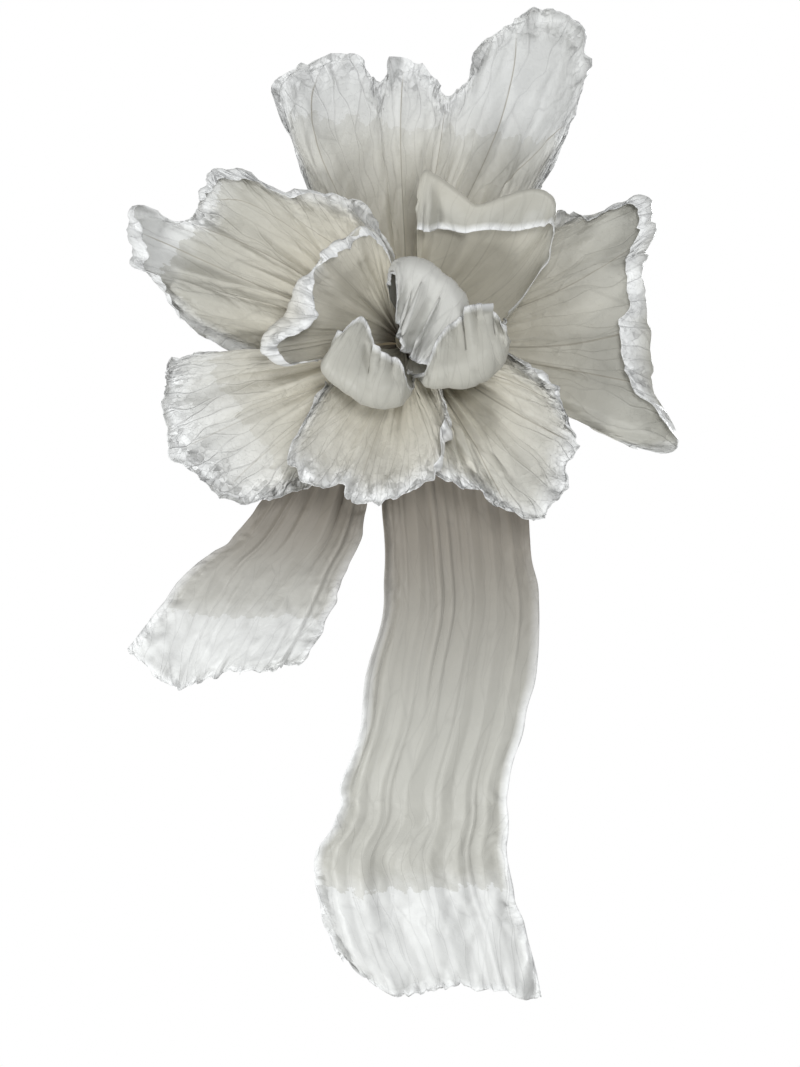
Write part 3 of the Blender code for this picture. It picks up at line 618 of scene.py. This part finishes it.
def make_wires(petal):
    """The petal's wrapped wires, laid behind the finished paper and bound at the post."""
    points, normals, along = SHEETS[petal.node]
    body = int((along <= 1).sum())
    behind = bpy.context.scene.flower_paper.thickness / MM / 2 + 0.5 + WIRE_RADIUS
    vertices = []
    faces = []
    rows = np.arange(4, body - 4, 2)
    for place in wire_places(petal, along):
        columns = np.clip(place[rows], 0, 0.9999) * (len(points) - 1)
        first = columns.astype(int)
        share = (columns - first)[:, None]
        facing = normals[first, rows] * (1 - share) + normals[first + 1, rows] * share
        line = points[first, rows] * (1 - share) + points[first + 1, rows] * share - facing * behind
        foot = directions(between(petal.throat, place[0])) * (POST_RADIUS + 2.4) + FORWARD * (petal.seat - 8)
        add_round_wire(vertices, faces, np.concatenate([foot[None], line]), facing[0], WIRE_RADIUS)
    low, high = (between(petal.throat, petal.wires[k][0] / (len(petal.ribs) - 1)) for k in (0, -1))
    bar = directions(np.linspace(low - 5, high + 6, 20))
    for turn in range(BINDING_TURNS):
        bind = bar * (POST_RADIUS + GAP + 1.2 + 0.25 * turn) + FORWARD * (petal.seat - 9.6 + 1.5 * turn)
        add_round_wire(vertices, faces, bind, FORWARD, BINDING_RADIUS)
    mesh = bpy.data.meshes.new(petal.node + "_wrapped_wires")
    mesh.from_pydata([tuple(v * MM) for v in vertices], [], faces)
    mesh.polygons.foreach_set("use_smooth", [len(face) == 4 for face in faces])
    piece = bpy.data.objects.new(mesh.name, mesh)
    bpy.context.collection.objects.link(piece)
    mesh.materials.append(wrapped_wire())
    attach(piece, "root")
    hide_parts(petal.node + "_wires")


def add_round_wire(vertices, faces, line, side, radius, sides=8):
    """Adds one closed round wire through the points of line."""
    base = len(vertices)
    ahead = np.gradient(line, axis=0)
    ahead /= np.linalg.norm(ahead, axis=-1, keepdims=True)
    for place, heading in zip(line, ahead):
        second = np.cross(heading, side)
        second /= np.linalg.norm(second)
        side = np.cross(second, heading)
        for k in range(sides):
            turn = 2 * pi * k / sides
            vertices.append(place + radius * (np.cos(turn) * side + np.sin(turn) * second))
    for ring in range(len(line) - 1):
        for k in range(sides):
            a = base + ring * sides + k
            b = base + ring * sides + (k + 1) % sides
            faces.append((a, b, b + sides, a + sides))
    faces.append(tuple(base + k for k in range(sides - 1, -1, -1)))
    faces.append(tuple(base + (len(line) - 1) * sides + k for k in range(sides)))


def add_node(tree, kind, links=None, **settings):
    """Adds a shader node, sets its properties and sockets, and links sockets given as node outputs."""
    node = tree.nodes.new(kind)
    for key, value in settings.items():
        setattr(node, key, value)
    for socket, value in (links or {}).items():
        if isinstance(value, bpy.types.NodeSocket):
            tree.links.new(value, node.inputs[socket])
        else:
            node.inputs[socket].default_value = value
    return node


def new_material(name, roughness, ior=1.5, metallic=0.0):
    made = bpy.data.materials.new(name)
    made.use_nodes = True
    shader = made.node_tree.nodes["Principled BSDF"]
    shader.inputs["Roughness"].default_value = roughness
    shader.inputs["IOR"].default_value = ior
    shader.inputs["Metallic"].default_value = metallic
    return made, made.node_tree, shader


def object_places(tree):
    return add_node(tree, "ShaderNodeTexCoord").outputs["Object"]


def split(tree, vector):
    return add_node(tree, "ShaderNodeSeparateXYZ", {0: vector}).outputs


def maths(tree, operation, *values):
    return add_node(tree, "ShaderNodeMath", dict(enumerate(values)), operation=operation).outputs[0]


def vector_maths(tree, operation, *values):
    return add_node(tree, "ShaderNodeVectorMath", dict(enumerate(values)), operation=operation).outputs


def ramp(tree, value, low, high, start=0.0, end=1.0):
    """Value that runs from start to end while the given one runs from low to high."""
    links = {"Value": value, "From Min": low, "From Max": high, "To Min": start, "To Max": end}
    return add_node(tree, "ShaderNodeMapRange", links).outputs[0]


def mix(tree, share, first, second, **settings):
    """Colour between two others, each a node's output or three linear numbers."""
    first, second = (c if isinstance(c, bpy.types.NodeSocket) else (*c, 1) for c in (first, second))
    links = {0: share, 6: first, 7: second}
    return add_node(tree, "ShaderNodeMix", links, data_type="RGBA", **settings).outputs[2]


def darken(tree, tone, share):
    return mix(tree, 1.0, tone, share, blend_type="MULTIPLY")


def noise(tree, place, width, detail, output="Fac", **links):
    """Noise with lumps of the given width in metres."""
    links = {"Vector": place, "Scale": 1 / width, "Detail": detail, **links}
    return add_node(tree, "ShaderNodeTexNoise", links).outputs[output]


def waves(tree, place, width, distortion, direction):
    """Soft stripes of the given width in metres, with as much between them."""
    links = {"Vector": place, "Scale": 1 / width / WAVES_FOR_SCALE, "Distortion": distortion}
    return add_node(tree, "ShaderNodeTexWave", links, bands_direction=direction).outputs["Fac"]


def dress(tree, shader, tone, height, distance, strength):
    """Gives the shader its colour, and a bump whose height and distance are in metres."""
    bump = add_node(tree, "ShaderNodeBump", {"Height": height, "Distance": distance, "Strength": strength})
    tree.links.new(tone, shader.inputs["Base Color"])
    tree.links.new(bump.outputs["Normal"], shader.inputs["Normal"])


def kneaded_paper():
    """White craft paper, kneaded by hand: matt, soft facets, creases that catch light, grey wire lines of
    painted shadow.
    """
    found = bpy.data.materials.get("kneaded_craft_paper")
    if found:
        return found
    colours = bpy.context.scene.flower_colours
    made, tree, shader = new_material("kneaded_craft_paper", 0.5, 1.45)
    flat, gather, marks, fold = (add_node(tree, "ShaderNodeAttribute", attribute_name=name).outputs["Vector"]
                                 for name in ("flat", "gather", "marks", "fold"))
    wire, layer, depth = split(tree, marks)
    edge = split(tree, flat)["Z"]
    _, run, painted_shade = split(tree, gather)
    fold, wired, crush = split(tree, fold)
    sheet = add_node(tree, "ShaderNodeMapping", {"Vector": flat, "Scale": (1.0, 1.0, 0.0)}).outputs[0]
    # The second layer ends in a torn line, a step 2.5 mm wide that wanders. The paper behind it takes painted
    # shade, as less light shines through two layers, and the shade deepens further in
    fray = noise(tree, sheet, 0.035, 6.0, Roughness=0.62)
    layer = maths(tree, "MULTIPLY_ADD", fray, 0.09, layer)
    layer_shade = ramp(tree, layer, 0.044, 0.0465, 0.0, 0.6)
    layer_shade = maths(tree, "ADD", layer_shade, ramp(tree, layer, 0.05, 0.1, 0.0, 0.4))
    layer_shade = maths(tree, "MULTIPLY", layer_shade, depth)
    tone = mix(tree, layer_shade, colours.single_layer, colours.shaded_double_layer)
    # At a curled rim light comes through from behind, so the last 70 mm look paler still
    tone = mix(tree, ramp(tree, edge, 0.015, 0.07), colours.curled_rim, tone)
    # Less light shines through towards the gather, so the paper looks darker and warmer there
    tone = mix(tree, painted_shade, tone, colours.gathered)
    # Painted shade darker still, deep in a petal's throat and as the flower's shadow on the top of a hanging
    # sheet, where folds are packed behind each other; below -1 only this stage shows
    packed_shade = maths(tree, "ABSOLUTE", painted_shade)
    tone = mix(tree, ramp(tree, packed_shade, 1.0, 2.0), tone, colours.packed_shade)
    # A wire behind the paper shows through it as a grey line 3 mm wide: painted shadow
    away = maths(tree, "ABSOLUTE", wire)
    line = maths(tree, "MULTIPLY", ramp(tree, away, 0.0004, 0.0026, 0.9, 0.0), wired)
    tone = mix(tree, line, tone, colours.wire_shadow)
    # Pulp clouds 60 mm wide lighten and darken the sheet slightly
    tone = darken(tree, tone, ramp(tree, noise(tree, sheet, 0.06, 4.0), 0.3, 0.7, 0.95, 1.0))
    # Valleys of the folds hold less light than their ridges
    tone = darken(tree, tone, ramp(tree, fold, -1.0, 0.5, 0.8, 1.0))
    # Pressed crease lines that fan out of the gather, 1.5 mm wide, with a little painted shade in them
    bend = noise(tree, sheet, 0.12, 1.0, "Color")
    fan = vector_maths(tree, "MULTIPLY_ADD", bend, (0.05, 0.0, 0.0), gather)[0]
    fan = add_node(tree, "ShaderNodeMapping", {"Vector": fan, "Scale": (1.0, 0.14, 0.0)}).outputs[0]
    lines = add_node(tree, "ShaderNodeTexVoronoi", {"Vector": fan, "Scale": 1 / 0.03, "Randomness": 1.0},
                     feature="DISTANCE_TO_EDGE").outputs["Distance"]
    lines = ramp(tree, lines, 0.0, 0.04, 1.0, 0.0)
    tone = darken(tree, tone, maths(tree, "MULTIPLY_ADD", lines, -0.07, 1.0))
    # The long facets and creases narrow towards the throat, so they are shallower there
    spread = ramp(tree, run, 0.05, 0.42)
    # The rims are kneaded hardest, and not evenly: the strength changes over some 150 mm
    near = ramp(tree, edge, 0.01, 0.09, 1.9, 0.0)
    uneven = ramp(tree, noise(tree, sheet, 0.15, 1.0), 0.38, 0.6, 0.25, 1.3)
    near = maths(tree, "MULTIPLY_ADD", near, uneven, 0.55)
    # Facets of kneaded paper, 12 and 28 mm wide, and long ones between the creases: each tilts its own way
    warp = noise(tree, sheet, 0.03, 2.0, "Color")
    kneaded = vector_maths(tree, "MULTIPLY_ADD", warp, (0.02, 0.02, 0.0), sheet)[0]
    relief = 0.0
    for where, size, strength, share in (
            (kneaded, 0.012, 0.44, near), (kneaded, 0.028, 0.48, near), (fan, 0.03, 0.4, spread)):
        links = {"Vector": where, "Scale": 1 / size, "Randomness": 1.0}
        cells = add_node(tree, "ShaderNodeTexVoronoi", links)
        tilt = vector_maths(tree, "SUBTRACT", cells.outputs["Color"], (0.5, 0.5, 0.5))[0]
        place = vector_maths(tree, "SUBTRACT", where, cells.outputs["Position"])[0]
        slope = vector_maths(tree, "DOT_PRODUCT", tilt, place)["Value"]
        relief = maths(tree, "MULTIPLY_ADD", maths(tree, "MULTIPLY", slope, share), strength, relief)
    # Heights in metres of a crease line, of the paper's ridge over a wire and of its tooth
    tooth = noise(tree, sheet, 0.0022, 3.0)
    for ridge, height in ((maths(tree, "MULTIPLY", lines, spread), 0.0014), (line, 0.0012), (tooth, 0.0003)):
        relief = maths(tree, "MULTIPLY_ADD", ridge, height, relief)
    strength = maths(tree, "MULTIPLY", ramp(tree, edge, 0.0, 0.14, 1.0, 0.45), crush)
    dress(tree, shader, tone, relief, 1.0, strength)
    return made


def striped(name, roughness, width, distortion, direction, first, second, depth, strength):
    """Matt material with soft stripes of two colours that also stand out; width and depth are in metres."""
    found = bpy.data.materials.get(name)
    if found:
        return found
    made, tree, shader = new_material(name, roughness, 1.45)
    stripes = waves(tree, object_places(tree), width, distortion, direction)
    dress(tree, shader, mix(tree, stripes, linear(first), linear(second)), stripes, depth, strength)
    return made


def wrapped_wire():
    """Iron florist wire wrapped in white paper: matt, with the wrap's slanting turns 4 mm wide."""
    return striped("paper_wrapped_wire", 0.75, 0.004, 1.5, "DIAGONAL", "#dcd9d0", "#efeee9", 0.0002, 0.6)


def bound_post():
    """Beech post bound in cream tissue: matt, with the laps of its strip 9 mm wide."""
    return striped("tissue_bound_post", 0.75, 0.009, 1.2, "Y", "#b5ad9b", "#cdc5b2", 0.0005, 0.5)


def crepe_tape():
    """Cream crepe paper tape: matt, with ribs 1.2 mm wide across its length."""
    return striped("crepe_paper_tape", 0.8, 0.0012, 3.0, "X", "#d2c9b4", "#e6dfcc", 0.0002, 0.6)


def poplar_plywood():
    """Poplar plywood: pale face veneer with soft grain, and plies that stripe the cut edge."""
    made, tree, shader = new_material("poplar_plywood", 0.6, 1.5)
    veneer = bpy.context.scene.flower_colours.plywood
    places = object_places(tree)
    stretched = add_node(tree, "ShaderNodeMapping", {"Vector": places, "Scale": (1.0, 1.0, 0.12)}).outputs[0]
    # Veneer grain about 5 mm wide
    grain = noise(tree, stretched, 0.005, 5.0, Distortion=0.6)
    tone = mix(tree, grain, [c * 0.78 for c in veneer], veneer)
    # Three-millimetre plies on the edge, seen where the face looks sideways
    plies = maths(tree, "PINGPONG", split(tree, places)["Y"], 0.003)
    plies = maths(tree, "GREATER_THAN", plies, 0.0015)
    facing = split(tree, add_node(tree, "ShaderNodeNewGeometry").outputs["True Normal"])["Y"]
    sideways = maths(tree, "COMPARE", facing, 0.0, 0.5)
    stripe = maths(tree, "MULTIPLY", maths(tree, "MULTIPLY", plies, sideways), 0.4)
    dress(tree, shader, mix(tree, stripe, tone, linear("#98866b")), grain, 0.0002, 0.4)
    return made


def zinc_plate():
    """Bright zinc-plated steel: a soft, slightly mottled shine."""
    made, tree, shader = new_material("zinc_plated_steel", 0.32, 1.5, 1.0)
    plating = bpy.context.scene.flower_colours.zinc
    places = object_places(tree)
    # Mottling 3 mm across
    mottle = noise(tree, places, 0.003, 2.0)
    tree.links.new(mix(tree, mottle, [c * 0.8 for c in plating], plating), shader.inputs["Base Color"])
    tree.links.new(ramp(tree, mottle, 0.0, 1.0, 0.26, 0.42), shader.inputs["Roughness"])
    return made


class FLOWER_OT_outer_petals(bpy.types.Operator):
    """Makes the seven outer petals over their solids"""
    bl_idname = "flower.outer_petals"
    bl_label = "Outer petals"

    def execute(self, context):
        for number, petal in enumerate(OUTER_PETALS):
            make_petal(petal, OUTER_SEED + number, OUTER_COLUMNS)
        return {"FINISHED"}


class FLOWER_OT_inner_petals(bpy.types.Operator):
    """Makes the four inner petals over their solids"""
    bl_idname = "flower.inner_petals"
    bl_label = "Inner petals"

    def execute(self, context):
        for number, petal in enumerate(INNER_PETALS):
            make_petal(petal, INNER_SEED + number, INNER_COLUMNS)
        return {"FINISHED"}


class FLOWER_OT_hanging_sheets(bpy.types.Operator):
    """Makes the two pleated sheets that hang below the flower"""
    bl_idname = "flower.hanging_sheets"
    bl_label = "Hanging sheets"

    def execute(self, context):
        for number, sheet in enumerate(HANGING_SHEETS):
            make_hanging_sheet(sheet, HANGING_SEED + number, HANGING_COLUMNS)
        return {"FINISHED"}


class FLOWER_OT_petal_wires(bpy.types.Operator):
    """Lays the wrapped wires behind each petal"""
    bl_idname = "flower.petal_wires"
    bl_label = "Petal wires"

    def execute(self, context):
        if not SHEETS:
            raise RuntimeError("Make the petals first: the wires follow them")
        for petal in OUTER_PETALS + INNER_PETALS:
            make_wires(petal)
        return {"FINISHED"}


class FLOWER_OT_core_finishes(bpy.types.Operator):
    """Finishes the wooden core, its screws, the loop and the tape"""
    bl_idname = "flower.core_finishes"
    bl_label = "Core finishes"

    def execute(self, context):
        zinc = zinc_plate()
        finishes = {"backing_board": poplar_plywood(), "post": bound_post(), "binding_tape": crepe_tape(),
                    "upper_screw": zinc, "lower_screw": zinc, "hanging_loop": zinc}
        for node, finish in finishes.items():
            for slot in bpy.data.objects[node].material_slots:
                slot.material = finish
        return {"FINISHED"}


class FLOWER_OT_studio(bpy.types.Operator):
    """Sets the floor, the soft lights and the camera"""
    bl_idname = "flower.studio"
    bl_label = "Studio"

    def execute(self, context):
        scene = context.scene
        studio = scene.flower_studio
        bpy.ops.mesh.primitive_circle_add(
            vertices=96, radius=studio.floor_radius, fill_type="NGON", location=(0, 0, -studio.floor_drop))
        floor = context.object
        floor.name = "studio_floor"
        made, tree, shader = new_material("matt_white_floor", 0.9)
        shader.inputs["Base Color"].default_value = (*linear("#ecebe8"), 1)
        floor.data.materials.append(made)
        world = bpy.data.worlds.new("even_white")
        scene.world = world
        world.use_nodes = True
        nodes = world.node_tree
        nodes.nodes.clear()
        path = add_node(nodes, "ShaderNodeLightPath")
        seen = maths(nodes, "MAXIMUM", path.outputs["Is Camera Ray"], path.outputs["Is Glossy Ray"])
        seen = maths(nodes, "MAXIMUM", seen, path.outputs["Is Transmission Ray"])
        sky, white = (add_node(nodes, "ShaderNodeBackground", {"Color": hue, "Strength": strength}).outputs[0]
                      for hue, strength in (((0.97, 0.985, 1.0, 1), studio.sky), ((1, 1, 1, 1), 1.0)))
        mixed = add_node(nodes, "ShaderNodeMixShader", {0: seen, 1: sky, 2: white}).outputs[0]
        add_node(nodes, "ShaderNodeOutputWorld", {"Surface": mixed})
        middle = Vector((0, 0, -0.3))
        for name, place, energy in (("low_left", (-2.0, -2.0, -1.8), studio.key_power),
                                    ("front", (0.4, -3.8, 0.2), studio.fill_power),
                                    ("right", (2.5, -1.7, -0.2), studio.side_power),
                                    ("above", (-0.8, -1.4, 2.4), studio.top_power),
                                    ("behind", (2.4, 3.0, 0.9), studio.back_power)):
            lamp = bpy.data.lights.new(name, "AREA")
            lamp.shape = "DISK"
            lamp.size = studio.lamp_size
            lamp.energy = energy
            lamp.color = (0.96, 0.98, 1.0)
            holder = bpy.data.objects.new(name, lamp)
            context.collection.objects.link(holder)
            holder.location = place
            holder.rotation_euler = (middle - Vector(place)).to_track_quat("-Z", "Y").to_euler()
        camera = bpy.data.cameras.new("photo_view")
        camera.lens = studio.camera_lens
        camera.sensor_width = 36
        camera.clip_end = 50
        holder = bpy.data.objects.new("photo_view", camera)
        context.collection.objects.link(holder)
        holder.location = (studio.camera_side, -studio.camera_distance, studio.camera_height)
        holder.rotation_euler = (radians(90), 0, 0)
        scene.camera = holder
        scene.view_settings.view_transform = "Standard"
        return {"FINISHED"}


class FLOWER_PT_panel(bpy.types.Panel):
    """Lists the flower's steps and sizes"""
    bl_idname = "FLOWER_PT_panel"
    bl_label = "Paper flower"
    bl_space_type = "VIEW_3D"
    bl_region_type = "UI"
    bl_category = "Paper flower"

    def draw(self, context):
        for operator in OPERATORS:
            self.layout.operator(operator.bl_idname)
        for group in (context.scene.flower_paper, context.scene.flower_colours, context.scene.flower_studio):
            box = self.layout.box()
            for name in group.bl_rna.properties.keys():
                if name not in ("rna_type", "name"):
                    box.prop(group, name)


SETTINGS = {"flower_paper": PaperSizes, "flower_colours": PaperColours, "flower_studio": StudioSizes}
OPERATORS = (FLOWER_OT_outer_petals, FLOWER_OT_inner_petals, FLOWER_OT_hanging_sheets, FLOWER_OT_petal_wires,
             FLOWER_OT_core_finishes, FLOWER_OT_studio)


def register():
    for group in (*SETTINGS.values(), *OPERATORS, FLOWER_PT_panel):
        bpy.utils.register_class(group)
    for name, group in SETTINGS.items():
        setattr(bpy.types.Scene, name, bpy.props.PointerProperty(type=group))


def unregister():
    for name in SETTINGS:
        delattr(bpy.types.Scene, name)
    for group in (FLOWER_PT_panel, *reversed(OPERATORS), *SETTINGS.values()):
        bpy.utils.unregister_class(group)


def main():
    register()
    bpy.ops.flower.outer_petals()
    bpy.ops.flower.inner_petals()
    bpy.ops.flower.hanging_sheets()
    bpy.ops.flower.petal_wires()
    bpy.ops.flower.core_finishes()
    bpy.ops.flower.studio()


if __name__ == "__main__":
    main()
